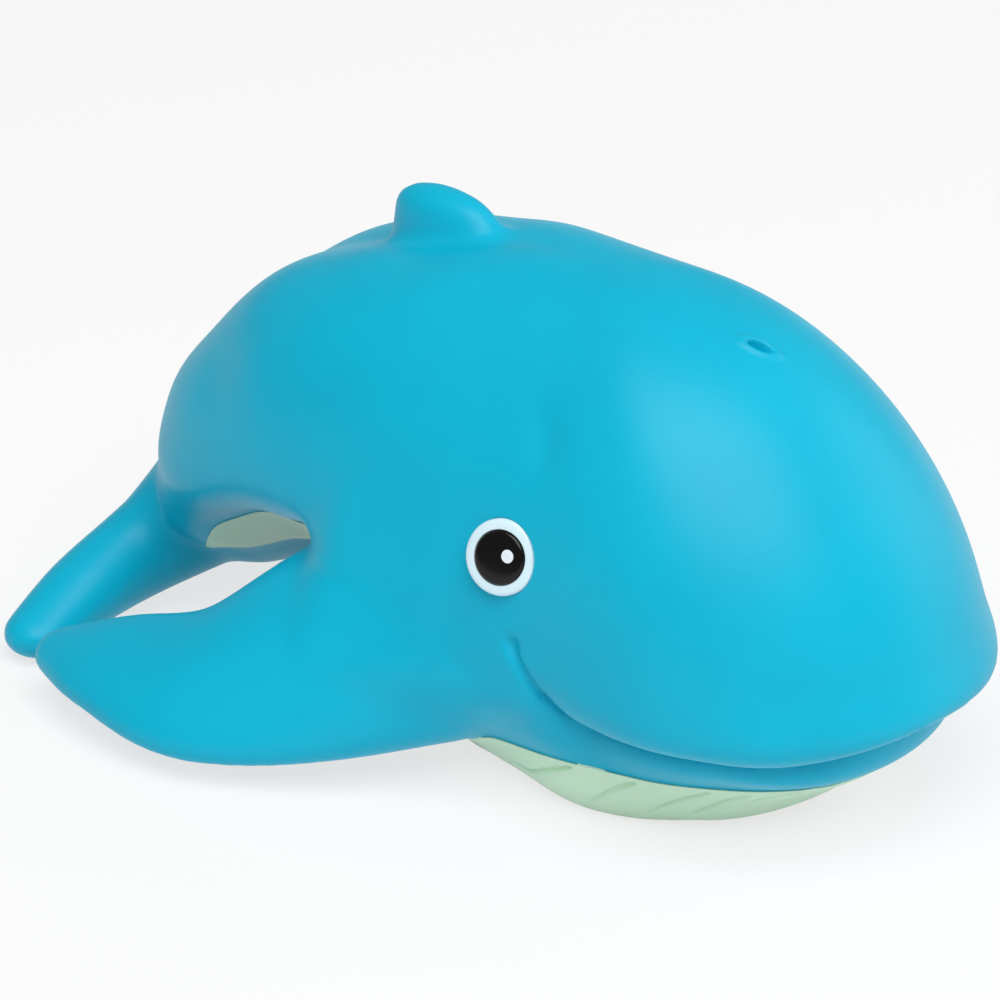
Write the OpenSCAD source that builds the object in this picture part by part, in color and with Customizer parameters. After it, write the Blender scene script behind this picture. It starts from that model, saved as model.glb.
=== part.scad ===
// Squeaky bath toy: a hollow soft vinyl whale with a bonded belly panel and a
// reed squeaker pressed into the belly. The head points along +X.

/* [Body] */
// Length from the snout to the rump
body_len = 127.5; // [112:0.5:145]
// Width of the head at its widest line
body_w = 62.8; // [56:0.2:72]
// Height of the back above the table
body_h = 67; // [60:0.2:74]
// Thickness of the vinyl
wall = 2.2; // [1.6:0.1:2.8]
// Depth of the rolled upper lip, inwards from the snout
lip_roll = 5; // [4:0.1:5.6]
// Depth of the mouth crease behind the lip
crease_d = 1.4; // [0.8:0.1:2]

/* [Belly] */
// Number of throat pleats on each side of the middle
pleats = 4; // [1:1:4]
// Spacing of the throat pleats
pleat_pitch = 5.2; // [4.4:0.1:5.4]
// Width of a pleat groove
pleat_w = 1; // [0.6:0.1:1.4]
// Depth of a pleat groove
pleat_d = 0.5; // [0.3:0.05:0.8]

/* [Flippers] */
// Length of a flipper, from inside the flank to its tip
flipper_len = 54; // [46:1:60]
// Breadth of a flipper at its middle
flipper_chord = 25; // [20:1:29]
// Thickness of a flipper
flipper_t = 8.5; // [6:0.5:11]
// Tilt of a flipper's lower edge
flipper_tilt = 41; // [35:1:50]

/* [Tail and fin] */
// Span of the tail flukes
fluke_span = 76; // [64:1:84]
// Height of a fluke beside the tail
fluke_h = 16; // [14:0.2:18]
// Breadth of a fluke, front to back
fluke_chord = 13; // [11:0.5:15]
// How far the flukes reach behind the rump
fluke_reach = 6.4; // [4:0.2:8]
// Length of the dorsal fin at its base
fin_len = 22; // [16:1:25]
// Height of the dorsal fin above the back
fin_h = 8; // [5:0.5:11]
// Thickness of the dorsal fin at its base
fin_t = 9; // [6:0.5:12]

/* [Blowhole] */
// Length of the blowhole, nearly along the head
blow_len = 3.6; // [2.6:0.1:5]
// Width of the blowhole
blow_w = 2.2; // [1.6:0.1:3]
// Height of the soft rim round the blowhole
blow_rim = 0.5; // [0.3:0.1:0.8]

/* [Eyes] */
// Diameter of the white of an eye
eye_d = 10; // [8:0.2:12]
// Diameter of the pupil
pupil_d = 6.9; // [5:0.1:7.5]
// Diameter of the white dot on the pupil
glint_d = 1.8; // [1.2:0.1:2.2]
// Depth of the pocket that holds an eye
eye_seat = 1.1; // [0.9:0.05:1.3]
// Height of the eye's dome above its pocket
eye_dome = 1.3; // [1:0.1:1.8]

/* [Squeaker] */
// Diameter of the squeaker's flange
flange_d = 20.4; // [19:0.2:22]
// Thickness of the squeaker's flange
flange_t = 1.2; // [1:0.1:1.4]
// Diameter of the squeaker's barrel
barrel_d = 16; // [15:0.2:17]
// Height of the squeaker's barrel above the flange
barrel_h = 10; // [9:0.5:12]
// Wall of the squeaker's barrel
barrel_wall = 1.2; // [1:0.1:1.5]
// Height of the collar that grips the vinyl inside the toy
barb = 0.6; // [0.4:0.1:0.8]
// Diameter of the air hole in the flange
vent_d = 3; // [2:0.1:4]
// Thickness of the squeaker's cap
cap_t = 1.4; // [1.2:0.1:1.8]
// Diameter of the tube that carries the reed
reed_tube_d = 4.2; // [3.8:0.1:4.6]
// Length of the tube that carries the reed
reed_tube_len = 7; // [6:0.1:7.5]
// Width of the reed
reed_w = 2.4; // [2:0.1:2.6]
// Thickness of the reed
reed_t = 0.25; // [0.2:0.05:0.35]
// Clearance between pieces that move or are pressed together
fit = 0.1; // [0.05:0.05:0.2]

/* [Hidden] */

// How far a cut runs past the face that it opens
over = 1;
// Points round each half of the body's plan
half_n = 30;
// Sides of the round ends that the limbs are built from
limb_fn = 16;

// The body's plan, read from the snout to the rump. Each table holds shares at even steps.
width_shares = [1.40, 1.40, 1.39, 1.36, 1.33, 1.28, 1.21, 1.11, 1.01, 0.955, 0.94,
    0.945, 0.96, 0.985, 1.02, 1.065, 1.11, 1.14, 1.155, 1.16, 1.16];
beam_shares = [0.291, 0.291, 0.291, 0.292, 0.295, 0.30, 0.31, 0.325, 0.355, 0.39, 0.42,
    0.455, 0.495, 0.515, 0.48, 0.42, 0.385, 0.38, 0.38, 0.38, 0.38];
mouth_shares = [0.252, 0.25, 0.246, 0.243, 0.242, 0.242, 0.243, 0.246, 0.263, 0.40, 0.41];
rim_h_shares = [0.135, 0.135, 0.135, 0.135, 0.135, 0.135, 0.135, 0.135, 0.132, 0.126, 0.123,
    0.25, 0.41, 0.395, 0.375, 0.32, 0.262, 0.19, 0.175, 0.175, 0.175];
tuck_shares = [0.338, 0.338, 0.338, 0.338, 0.338, 0.331, 0.296, 0.236, 0.16, 0.15, 0.166,
    0.19, 0.21, 0.235, 0.25, 0.24, 0.21, 0.2, 0.2, 0.2, 0.2];
keel_shares = [0, 0, 0, 0, 0, 0, 0.13, 0.29, 0.25, 0.16, 0.16];
crown_shares = [1.97, 1.98, 2.12, 2.08, 2.24, 1.93];
// How far the dome's own middle lies below the widest line
lean_shares = [0.07, 0.07, 0.055, 0.02, 0, 0];
// Where the mouth starts to fade and where it has gone, along the plan
mouth_fade_shares = [0.38, 0.46];
// Turn of each row of the flank below the widest line
flank_shares = [0.03, 0.06, 0.09, 0.12, 0.36, 0.68, 1];
flank_turn = 65;
lip_turns = [35, 65, 90];
// Rows of the dome, as turns up from the widest line towards the top
top_turn = 90;
dome_turns = [6, 13, 21, 29, 37, 45, 53, 61, 69, 77, 84];
crown_x_share = 0.075;
squeak_x_share = 0.09;
// Rows of the belly, from the squeaker's dimple to the rim
belly_row_shares = [0.4, 0.54, 0.66, 0.76, 0.85, 0.93, 1];
belly_flat_share = 0.43;
// How squarely the belly turns up to the rim, round the plan from the snout to the rump
belly_power_shares = [3.2, 3.2, 3.2, 3.2, 2.4, 1.35, 1.8, 2.8, 3.2, 3.2, 3.2];

total_len = body_len + fluke_reach;
snout_x = total_len / 2;
mid_x = snout_x - body_len / 2;
crown_x = mid_x + crown_x_share * body_len;
// The squeaker's dimple in the flat of the belly
squeak_x = mid_x + squeak_x_share * body_len;
dimple_d = flange_t + 2 * fit;
dimple_r = flange_d / 2 + 2 * fit;
hole_r = barrel_d / 2 + fit;

// Smooth reading of a table at place u, from 0 to 1
function pick(tab, i) = tab[max(0, min(len(tab) - 1, i))];
function read(tab, u) =
    let(
        n = len(tab) - 1,
        s = min(max(u, 0), 1) * n,
        i = min(floor(s), n - 1),
        f = s - i,
        a = pick(tab, i - 1),
        b = tab[i],
        c = tab[i + 1],
        d = pick(tab, i + 2)
    )
    b + f / 2 * (c - a + f * (2 * a - 5 * b + 4 * c - d + f * (3 * (b - c) + d - a)));
function ease(a, b, u) =
    let(s = min(max((u - a) / (b - a), 0), 1))
    s * s * (3 - 2 * s);
function unit(v) = v / norm(v);
function mix(a, b, f) = a + f * (b - a);

// The plan's outline at place u, on the left where side is 1 and on the right where it is -1
function plan(u, side) = [
    mid_x + body_len / 2 * cos(180 * u),
    side * body_w / 2 * sin(180 * u) * read(width_shares, u)
];
function plan_out(u, side) =
    let(e = 0.004, t = plan(u + e, side) - plan(u - e, side))
    side * unit([t.y, -t.x]);
function inset(u, side, d, z) =
    let(p = plan(u, side) - d * plan_out(u, side))
    [p.x, p.y, z];

function beam_z(u) = body_h * read(beam_shares, u);
function mouth_z(u) = body_h * read(mouth_shares, u / 0.5);
function rim_z(u) = body_h * read(rim_h_shares, u);
function tuck(u) = body_w / 2 * read(tuck_shares, u);
function mouth_on(u) = 1 - ease(mouth_fade_shares[0], mouth_fade_shares[1], u);

// Inset and height of the flank's row k: a plain curve behind the mouth,
// and lip, crease and jaw in front
function plain_row(u, k) =
    let(
        a = flank_turn * flank_shares[k],
        reach = tuck(u) / (1 - cos(flank_turn)),
        drop = (beam_z(u) - rim_z(u)) / sin(flank_turn)
    )
    [reach * (1 - cos(a)), beam_z(u) - drop * sin(a)];
function mouth_row(u, k) =
    let(top = beam_z(u), low = mouth_z(u), rim = rim_z(u), roll = lip_roll)
    k < 3 ? [roll * (1 - cos(lip_turns[k])), top - (top - low) * sin(lip_turns[k])]
    : k == 3 ? [roll + crease_d, mix(low, rim, 0.04)]
    : k == 4 ? [mix(roll, tuck(u), 0.1), mix(low, rim, 0.3)]
    : k == 5 ? [mix(roll, tuck(u), 0.4), mix(low, rim, 0.65)]
    : [tuck(u), rim];
function flank_point(u, side, k) =
    let(r = mix(plain_row(u, k), mouth_row(u, k), mouth_on(u)))
    inset(u, side, r[0], r[1]);
function dome_point(u, side, a) =
    let(
        p = plan(u, side),
        k = 2 / read(crown_shares, u),
        low = beam_z(u) - body_h * max(0, read(lean_shares, u)),
        start = asin(pow((beam_z(u) - low) / (body_h - low), 1 / k)),
        turn = start + (top_turn - start) * a / top_turn,
        s = pow(cos(turn) / cos(start), k)
    )
    [mix(crown_x, p.x, s), s * p.y, mix(low, body_h, pow(sin(turn), k))];

// Places round the body: down the left side and back up the right
round_n = 2 * half_n;
function place(j) = j <= half_n ? j / half_n : (round_n - j) / half_n;
function hand(j) = j <= half_n ? 1 : -1;

// The outside of the vinyl, row by row from the crown down to the rim of the belly
outside = [
    for (i = [len(dome_turns) - 1:-1:0])
        [for (j = [0:round_n - 1]) dome_point(place(j), hand(j), dome_turns[i])],
    [for (j = [0:round_n - 1]) dome_point(place(j), hand(j), 0)],
    for (k = [0:len(flank_shares) - 1])
        [for (j = [0:round_n - 1]) flank_point(place(j), hand(j), k)]
];
crown = [crown_x, 0, body_h];
rim_row = outside[len(outside) - 1];
// The inner edge of the rim, up and inwards from the outer edge
rim_in_row = [
    for (j = [0:round_n - 1])
        let(u = place(j))
        inset(u, hand(j), tuck(u) + wall * sin(45), rim_z(u) + wall * cos(45))
];

// Rows moved inwards by d, square to the skin
function row_at(rows, i) = rows[max(0, min(len(rows) - 1, i))];
function skin_out(rows, i, j) =
    let(
        n = len(rows[i]),
        across = rows[i][(j + 1) % n] - rows[i][(j + n - 1) % n],
        down = row_at(rows, i + 1)[j] - row_at(rows, i - 1)[j]
    )
    unit(cross(down, across));
function thick(rows, i, d) =
    [for (j = [0:len(rows[i]) - 1]) rows[i][j] - d * skin_out(rows, i, j)];

inside = [for (i = [0:len(outside) - 2]) thick(outside, i, wall)];

// The belly, row by row from the dimple's edge to the rim
function keel_z(x) = body_h * max(0, read(keel_shares, (snout_x - x) / body_len));
function rim_point(u, side) = flank_point(u, side, len(flank_shares) - 1);
function belly_point(u, side, f) =
    let(
        c = [squeak_x + dimple_r * cos(180 * u), side * dimple_r * sin(180 * u)],
        e = rim_point(u, side),
        x = mix(c.x, e.x, f),
        s = max(0, f - belly_flat_share) / (1 - belly_flat_share),
        low = keel_z(x)
    )
    [x, mix(c.y, e.y, f), low + (e.z - keel_z(e.x)) * pow(s, read(belly_power_shares, u))];
function ring(r, z) = [
    for (j = [0:round_n - 1])
        [squeak_x + r * cos(360 * j / round_n), r * sin(360 * j / round_n), z]
];
belly_rows = [
    for (f = belly_row_shares)
        [for (j = [0:round_n - 1]) belly_point(place(j), hand(j), f)]
];

// A closed skin through rows of points, with a point at each end
module skin(rows, first, last) {
    m = len(rows);
    n = len(rows[0]);
    polyhedron(
        points = [first, for (r = rows) each r, last],
        faces = [
            for (j = [0:n - 1]) [0, 1 + (j + 1) % n, 1 + j],
            for (i = [0:m - 2], j = [0:n - 1]) each [
                [1 + i * n + j, 1 + i * n + (j + 1) % n, 1 + (i + 1) * n + j],
                [1 + i * n + (j + 1) % n, 1 + (i + 1) * n + (j + 1) % n, 1 + (i + 1) * n + j]
            ],
            for (j = [0:n - 1]) [1 + m * n, 1 + (m - 1) * n + j, 1 + (m - 1) * n + (j + 1) % n]
        ]
    );
}

// A closed band through rows of points, whose last row meets its first
module band(rows) {
    m = len(rows);
    n = len(rows[0]);
    polyhedron(
        points = [for (r = rows) each r],
        faces = [
            for (i = [0:m - 1], j = [0:n - 1])
                let(a = i * n, b = (i + 1) % m * n, k = (j + 1) % n)
                each [[a + j, b + j, a + k], [a + k, b + j, b + k]]
        ]
    );
}

module vinyl() {
    skin(
        concat(outside, [rim_in_row], [for (i = [len(inside) - 1:-1:0]) inside[i]]),
        crown,
        crown - [0, 0, wall]
    );
}

// A rounded lump with its centre at c, its length, breadth and height in s and its turn in r
module lump(c, s, r) {
    translate(c)
        rotate(r)
            scale(s)
                sphere(d = 1, $fn = limb_fn);
}

// Lumps joined one to the next
module limb(lumps) {
    for (i = [0:len(lumps) - 2])
        hull() {
            lump(lumps[i][0], lumps[i][1], lumps[i][2]);
            lump(lumps[i + 1][0], lumps[i + 1][1], lumps[i + 1][2]);
        }
}

// Where a flipper leaves the middle of the flank
flipper_root_shares = [-0.055, -0.4, 0.24];
// Places along, out from and above the root, then length, breadth, thickness, sweep and tilt
flipper_shares = [
    [0.12, 0.08, 0.055, 0.34, 1.18, 2.2, 0.75, 1],
    [-0.1, -0.08, 0.025, 0.36, 1.24, 1.7, 0.75, 0.95],
    [-0.374, -0.27, -0.104, 0.3, 0.99, 1.1, 0.38, 0.75],
    [-0.65, -0.295, -0.137, 0.26, 0.69, 0.8, 0.1, 0.56],
    [-0.819, -0.291, -0.165, 0.2, 0.38, 0.6, 0, 0.5]
];
flipper_steps = 12;
module flipper() {
    root = [
        mid_x + flipper_root_shares[0] * body_len,
        flipper_root_shares[1] * body_w,
        flipper_root_shares[2] * body_h
    ];
    limb([
        for (i = [0:flipper_steps])
            let(s = read(flipper_shares, i / flipper_steps))
            [
                root + flipper_len * [s[0], s[1], s[2]],
                [s[3] * flipper_len, s[4] * flipper_chord, s[5] * flipper_t],
                [-s[7] * flipper_tilt, 0, 180 + s[6] * flipper_tilt]
            ]
    ]);
}

// Places along the half span, shift forwards, lift, length, breadth and height of each lump
fluke_shares = [
    [0, 0.3, 0.3, 0.6, 1.3, 1.1], [0.34, 0, 0.13, 0.4, 0.95, 0.85],
    [0.62, -0.08, 0.06, 0.36, 0.88, 0.64], [0.875, -0.05, 0.005, 0.28, 0.75, 0.42]
];
fluke_steps = 8;
module fluke() {
    limb([
        for (i = [0:fluke_steps])
            let(s = read(fluke_shares, i / fluke_steps))
            [
                [
                    (0.5 + s[1]) * fluke_chord - total_len / 2,
                    -s[0] * fluke_span / 2,
                    (s[2] + s[5] / 2) * fluke_h
                ],
                [s[4] * fluke_chord, s[3] * fluke_span / 2, s[5] * fluke_h],
                [0, 0, 0]
            ]
    ]);
}

// The tail's stock, a ridge that runs back under the rump to the flukes: places forward of
// the tail's end and above the table, then length, breadth and height of each lump
stock_shares = [
    [0.243, 0.276, 1.3, 0.18, 0.72], [0.125, 0.187, 1.4, 0.21, 0.84], [0.08, 0.19, 1.3, 0.3, 1]
];
module stock() {
    limb([
        for (s = stock_shares)
            [
                [s[0] * body_len - total_len / 2, 0, s[1] * body_h],
                [s[2] * fluke_chord, s[3] * fluke_span, s[4] * fluke_h],
                [0, 0, 0]
            ]
    ]);
}

fin_x_share = -0.145;
fin_base_share = 0.925;
// Places of the fin's lumps forward and up from its base, then length, thickness and height
fin_shares = [
    [0, 0, 1, 1, 1], [-0.09, 0.5, 0.64, 0.7, 0.99],
    [0.28, 0.4, 0.4, 0.6, 0.8], [0.5, 0.14, 0.3, 0.5, 0.7]
];
// The fin, cut off in the middle of the back's wall
module fin() {
    x = mid_x + fin_x_share * body_len;
    z = fin_base_share * body_h;
    difference() {
        limb([
            for (s = fin_shares)
                [
                    [x + s[0] * fin_len, 0, z + s[1] * fin_h],
                    [s[2] * fin_len, s[3] * fin_t, s[4] * fin_h],
                    [0, 0, 0]
                ]
        ]);
        skin(
            [for (i = [0:len(dome_turns)]) thick(outside, i, wall / 2)],
            crown - [0, 0, wall / 2],
            [squeak_x, 0, 0]
        );
    }
}

// The body's whole outer form, which the flippers and flukes grow from
module outer_form() {
    skin(
        concat(outside, [for (i = [len(belly_rows) - 2:-1:0]) belly_rows[i]]),
        crown,
        [squeak_x, 0, 0]
    );
}

// The blowhole, at a turn up the front of the head's dome, square to the skin there
blow_turn = 62.9;
blow_twist = 28;
blow = dome_point(0, 1, blow_turn);
blow_ahead = dome_point(0, 1, blow_turn - 1);
blow_slope = atan2(blow_ahead.x - blow.x, blow.z - blow_ahead.z);
module at_blowhole() {
    translate(blow)
        rotate([0, 90 - blow_slope, 0])
            rotate([0, 0, blow_twist])
                children();
}

eye_turn = 76;
eye_rise = 12;
eye_shares = [0.107, 0.457, 0.548];
module at_eye(side) {
    mirror([0, side > 0 ? 0 : 1, 0])
        translate([mid_x + eye_shares[0] * body_len, eye_shares[1] * body_w, eye_shares[2] * body_h])
            rotate([0, 0, eye_turn])
                rotate([0, 90 - eye_rise, 0])
                    children();
}

module body_shell() {
    color("deepskyblue")
        difference() {
            union() {
                vinyl();
                at_blowhole()
                    translate([0, 0, -blow_rim / 2])
                        scale([blow_len + 4 * blow_rim, blow_w + 4 * blow_rim, 3 * blow_rim])
                            sphere(d = 1, $fn = 32);
                fin();
            }
            for (side = [1, -1])
                at_eye(side)
                    translate([0, 0, -eye_seat])
                        cylinder(d = eye_d + 2 * fit, h = eye_seat + over + eye_dome, $fn = 48);
            at_blowhole()
                scale([blow_len, blow_w, 4 * wall])
                    cylinder(d = 1, h = 1, center = true, $fn = 32);
        }
}

// A limb on one side, cut where it meets the body
module on_body(side) {
    color("deepskyblue")
        difference() {
            mirror([0, side > 0 ? 1 : 0, 0])
                children();
            outer_form();
        }
}

module flipper_right() {
    on_body(-1)
        flipper();
}

module flipper_left() {
    on_body(1)
        flipper();
}

// The flukes meet in the middle plane, each with its half of the stock
module half_fluke() {
    difference() {
        union() {
            fluke();
            stock();
        }
        translate([-total_len, 0, -over])
            cube([total_len, fluke_span, body_h]);
    }
}

module fluke_right() {
    on_body(-1)
        half_fluke();
}

module fluke_left() {
    on_body(1)
        half_fluke();
}

// A pleat at the distance y from the middle: points where that line crosses the belly,
// from the front of the rim back to the flat
pleat_steps = 24;
pleat_end_share = 0.42;
function pleat_at(y, i) =
    let(
        u = pleat_end_share * i / pleat_steps,
        c = dimple_r * sin(180 * u),
        e = rim_point(u, 1).y,
        f = (y - c) / (e - c)
    )
    f > belly_flat_share && f < 1 ? [belly_point(u, 1, f)] : [];
module pleat(y) {
    path = [for (i = [1:pleat_steps]) each pleat_at(y, i)];
    first = path[0];
    last = path[len(path) - 1];
    translate([0, y + pleat_w / 2, 0])
        rotate([90, 0, 0])
            linear_extrude(pleat_w)
                polygon([
                    for (p = path) [p.x, p.z + pleat_d],
                    [last.x - pleat_w, last.z],
                    [last.x - pleat_w, -over],
                    [first.x + over, -over],
                    [first.x + over, first.z + pleat_d]
                ]);
}

module belly_skin() {
    band(concat(
        [ring(hole_r, dimple_d), ring(dimple_r, dimple_d), ring(dimple_r, 0)],
        belly_rows,
        [rim_in_row],
        [for (i = [len(belly_rows) - 2:-1:0]) thick(belly_rows, i, -wall)],
        [ring(dimple_r + wall, dimple_d + wall), ring(hole_r, dimple_d + wall)]
    ));
}

module belly_panel() {
    color("palegreen")
        difference() {
            belly_skin();
            for (k = [1:pleats]) {
                pleat(k * pleat_pitch);
                mirror([0, 1, 0])
                    pleat(k * pleat_pitch);
            }
        }
}

// The white of an eye, a disc with a domed face and a seat for the pupil
pupil_seat = eye_dome / 2;
module eye_white() {
    color("aliceblue")
        rotate_extrude($fn = 64)
            polygon([
                [0, -eye_seat],
                [eye_d / 2, -eye_seat],
                [eye_d / 2, 0],
                [eye_d * 0.46, eye_dome * 0.34],
                [pupil_d / 2 + fit, eye_dome * 0.6],
                [pupil_d / 2 + fit, eye_dome * 0.6 - pupil_seat],
                [0, eye_dome * 0.6 - pupil_seat]
            ]);
}

module eye_white_right() {
    at_eye(-1)
        eye_white();
}

module eye_white_left() {
    at_eye(1)
        eye_white();
}

module eye_pupil() {
    color("black")
        translate([0, 0, eye_dome * 0.6 - pupil_seat])
            cylinder(d = pupil_d, h = pupil_seat + eye_dome * 0.3, $fn = 64);
}

module eye_pupil_right() {
    at_eye(-1)
        eye_pupil();
}

module eye_pupil_left() {
    at_eye(1)
        eye_pupil();
}

// How far the white dot lies above and ahead of the pupil's middle
glint_shift_shares = [0.15, 0.23];
module eye_glint() {
    color("white")
        translate([-glint_shift_shares[0] * pupil_d, -glint_shift_shares[1] * pupil_d, eye_dome * 0.9])
            cylinder(d = glint_d, h = eye_dome * 0.1, $fn = 32);
}

module eye_glint_right() {
    at_eye(-1)
        eye_glint();
}

module eye_glint_left() {
    at_eye(1)
        eye_glint();
}

// Levels of the squeaker, from the flange's outer face up to the cap
flange_z = fit;
barrel_z = flange_z + flange_t;
top_z = barrel_z + barrel_h;
bore_d = barrel_d - 2 * barrel_wall;
cap_z = top_z - cap_t;
// The step inside the barrel that the cap sits on
step_w = barrel_wall / 2;
skin_top = dimple_d + wall;
module at_squeaker() {
    translate([squeak_x, 0, 0])
        children();
}

// A cup with an outer flange, and a collar above the vinyl that it grips
module squeaker_housing() {
    collar = barrel_d / 2 + barb;
    color("white")
        at_squeaker()
            rotate_extrude($fn = 96)
                polygon([
                    [vent_d / 2, flange_z],
                    [flange_d / 2, flange_z],
                    [flange_d / 2, barrel_z],
                    [barrel_d / 2, barrel_z],
                    [barrel_d / 2, skin_top + fit],
                    [collar, skin_top + fit],
                    [collar, skin_top + fit + barb],
                    [barrel_d / 2, skin_top + fit + 3 * barb],
                    [barrel_d / 2, top_z],
                    [bore_d / 2, top_z],
                    [bore_d / 2, cap_z],
                    [bore_d / 2 - step_w, cap_z],
                    [bore_d / 2 - step_w, cap_z - barrel_wall],
                    [bore_d / 2, cap_z - 2 * barrel_wall],
                    [bore_d / 2, barrel_z],
                    [vent_d / 2, barrel_z]
                ]);
}

// The disc that closes the cup, with a hole for the reed's tube
module squeaker_cap() {
    color("white")
        at_squeaker()
            translate([0, 0, cap_z])
                difference() {
                    cylinder(d = bore_d, h = cap_t, $fn = 96);
                    translate([0, 0, -over])
                        cylinder(d = reed_tube_d, h = cap_t + 2 * over, $fn = 64);
                }
}

// A tube that hangs from the cap, cut to a flat that the reed beats on.
// The channel under the flat carries the air up through the cap.
channel_d = reed_tube_d * 0.5;
flat_y = reed_tube_d * 0.16;
tube_z = top_z - reed_tube_len;
clamp_z = cap_z - cap_t;
module squeaker_reed_block() {
    color("ivory")
        at_squeaker()
            difference() {
                translate([0, 0, tube_z])
                    cylinder(d = reed_tube_d, h = reed_tube_len, $fn = 64);
                translate([0, flat_y, 0])
                    translate([-reed_tube_d, 0, tube_z - over])
                        cube([2 * reed_tube_d, reed_tube_d, reed_tube_len + 2 * over]);
                translate([0, flat_y, tube_z + channel_d / 2])
                    cylinder(d = channel_d, h = reed_tube_len + over, $fn = 48);
            }
}

// The reed's free tongue, which beats on the block's flat and bends at the wedge's lower end
module squeaker_reed() {
    color("gold")
        at_squeaker()
            translate([-reed_w / 2, flat_y, tube_z + fit])
                cube([reed_w, reed_t, clamp_z - tube_z - fit]);
}

// The end of the same strip that the wedge clamps
module squeaker_reed_root() {
    color("gold")
        at_squeaker()
            translate([-reed_w / 2, flat_y, clamp_z])
                cube([reed_w, reed_t, top_z - clamp_z]);
}

// The half round wedge that fills the rest of the hole and holds the reed
module squeaker_reed_wedge() {
    color("ivory")
        at_squeaker()
            difference() {
                translate([0, 0, clamp_z])
                    cylinder(d = reed_tube_d, h = top_z - clamp_z, $fn = 64);
                translate([-reed_tube_d, flat_y + reed_t - 2 * reed_tube_d, clamp_z - over])
                    cube([2 * reed_tube_d, 2 * reed_tube_d, top_z - clamp_z + 2 * over]);
            }
}

body_shell();
belly_panel();
flipper_right();
flipper_left();
fluke_right();
fluke_left();
eye_white_right();
eye_pupil_right();
eye_glint_right();
eye_white_left();
eye_pupil_left();
eye_glint_left();
squeaker_housing();
squeaker_cap();
squeaker_reed_block();
squeaker_reed();
squeaker_reed_root();
squeaker_reed_wedge();
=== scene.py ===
import math

import bmesh
import bpy
import numpy as np
from mathutils import Matrix, Vector
from mathutils.bvhtree import BVHTree
from mathutils.kdtree import KDTree


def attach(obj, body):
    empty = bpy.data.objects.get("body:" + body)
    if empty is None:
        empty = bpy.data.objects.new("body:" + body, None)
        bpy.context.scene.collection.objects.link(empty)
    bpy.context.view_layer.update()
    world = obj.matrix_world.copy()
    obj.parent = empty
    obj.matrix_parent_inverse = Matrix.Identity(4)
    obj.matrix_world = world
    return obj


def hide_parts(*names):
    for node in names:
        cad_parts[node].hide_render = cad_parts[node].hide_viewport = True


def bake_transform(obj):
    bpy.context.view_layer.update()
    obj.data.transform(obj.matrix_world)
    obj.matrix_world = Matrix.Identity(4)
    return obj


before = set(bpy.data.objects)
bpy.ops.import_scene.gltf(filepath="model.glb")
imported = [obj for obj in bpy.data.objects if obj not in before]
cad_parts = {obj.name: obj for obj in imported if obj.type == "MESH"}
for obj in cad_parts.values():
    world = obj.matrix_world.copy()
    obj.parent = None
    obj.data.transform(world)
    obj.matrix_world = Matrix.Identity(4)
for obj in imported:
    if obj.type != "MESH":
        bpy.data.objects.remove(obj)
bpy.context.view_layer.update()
MM = 0.001


# The camera of the photograph

camera = bpy.data.objects.new("photo_camera", bpy.data.cameras.new("photo_camera"))
bpy.context.scene.collection.objects.link(camera)
camera.matrix_world = Matrix((
    (0.7660, -0.2717, 0.5826, 0.4852),
    (0.6428, 0.3237, -0.6943, -0.5867),
    (0.0, 0.9063, 0.4226, 0.3846),
    (0.0, 0.0, 0.0, 1.0),
))
camera.data.sensor_width = 36
camera.data.lens = 228.06
camera.data.clip_start = 0.01
camera.data.clip_end = 20
bpy.context.scene.camera = camera


# Helpers for working with meshes

def only(*objects):
    """Leaves just these objects selected, the first of them active."""
    if bpy.context.object and bpy.context.object.mode != "OBJECT":
        bpy.ops.object.mode_set(mode="OBJECT")
    bpy.ops.object.select_all(action="DESELECT")
    for thing in objects:
        thing.select_set(True)
    bpy.context.view_layer.objects.active = objects[0]


def apply_modifier(thing, kind, **settings):
    """Adds a modifier with these settings and applies it at once."""
    only(thing)
    bpy.ops.object.modifier_add(type=kind)
    modifier = thing.modifiers[-1]
    for name, value in settings.items():
        setattr(modifier, name, value)
    bpy.ops.object.modifier_apply(modifier=modifier.name)


def bake_place(thing):
    """Moves an object's place into its mesh."""
    only(thing)
    bpy.ops.object.transform_apply(location=True, rotation=True, scale=True)


def closed_mesh(name, points, faces):
    """A mesh object from points in millimetres, with its faces turned outwards."""
    mesh = bpy.data.meshes.new(name)
    mesh.from_pydata((np.asarray(points, float) * MM).tolist(), [], faces)
    thing = bpy.data.objects.new(name, mesh)
    bpy.context.scene.collection.objects.link(thing)
    only(thing)
    bpy.ops.object.mode_set(mode="EDIT")
    bpy.ops.mesh.select_all(action="SELECT")
    bpy.ops.mesh.normals_make_consistent(inside=False)
    bpy.ops.object.mode_set(mode="OBJECT")
    return thing


def skin(name, rows, first, last):
    """A closed skin through rings of points, with a point at each end."""
    m, n = len(rows), len(rows[0])
    points = np.vstack([[first], np.vstack(rows), [last]])
    end = 1 + m * n
    faces = [(0, 1 + j, 1 + (j + 1) % n) for j in range(n)]
    for i in range(m - 1):
        a, b = 1 + i * n, 1 + (i + 1) * n
        faces += [(a + j, b + j, b + (j + 1) % n, a + (j + 1) % n) for j in range(n)]
    a = 1 + (m - 1) * n
    faces += [(end, a + (j + 1) % n, a + j) for j in range(n)]
    return closed_mesh(name, points, faces)


def copy_of(thing, name):
    """A copy with a mesh of its own."""
    twin = thing.copy()
    twin.data = thing.data.copy()
    twin.name = twin.data.name = name
    bpy.context.scene.collection.objects.link(twin)
    return twin


def carve(thing, tool, operation="DIFFERENCE", keep_tool=False):
    """Cuts a tool's shape out of an object, or keeps only what both share."""
    apply_modifier(thing, "BOOLEAN", operation=operation, object=tool, solver="MANIFOLD")
    if not keep_tool:
        bpy.data.objects.remove(tool)


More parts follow.
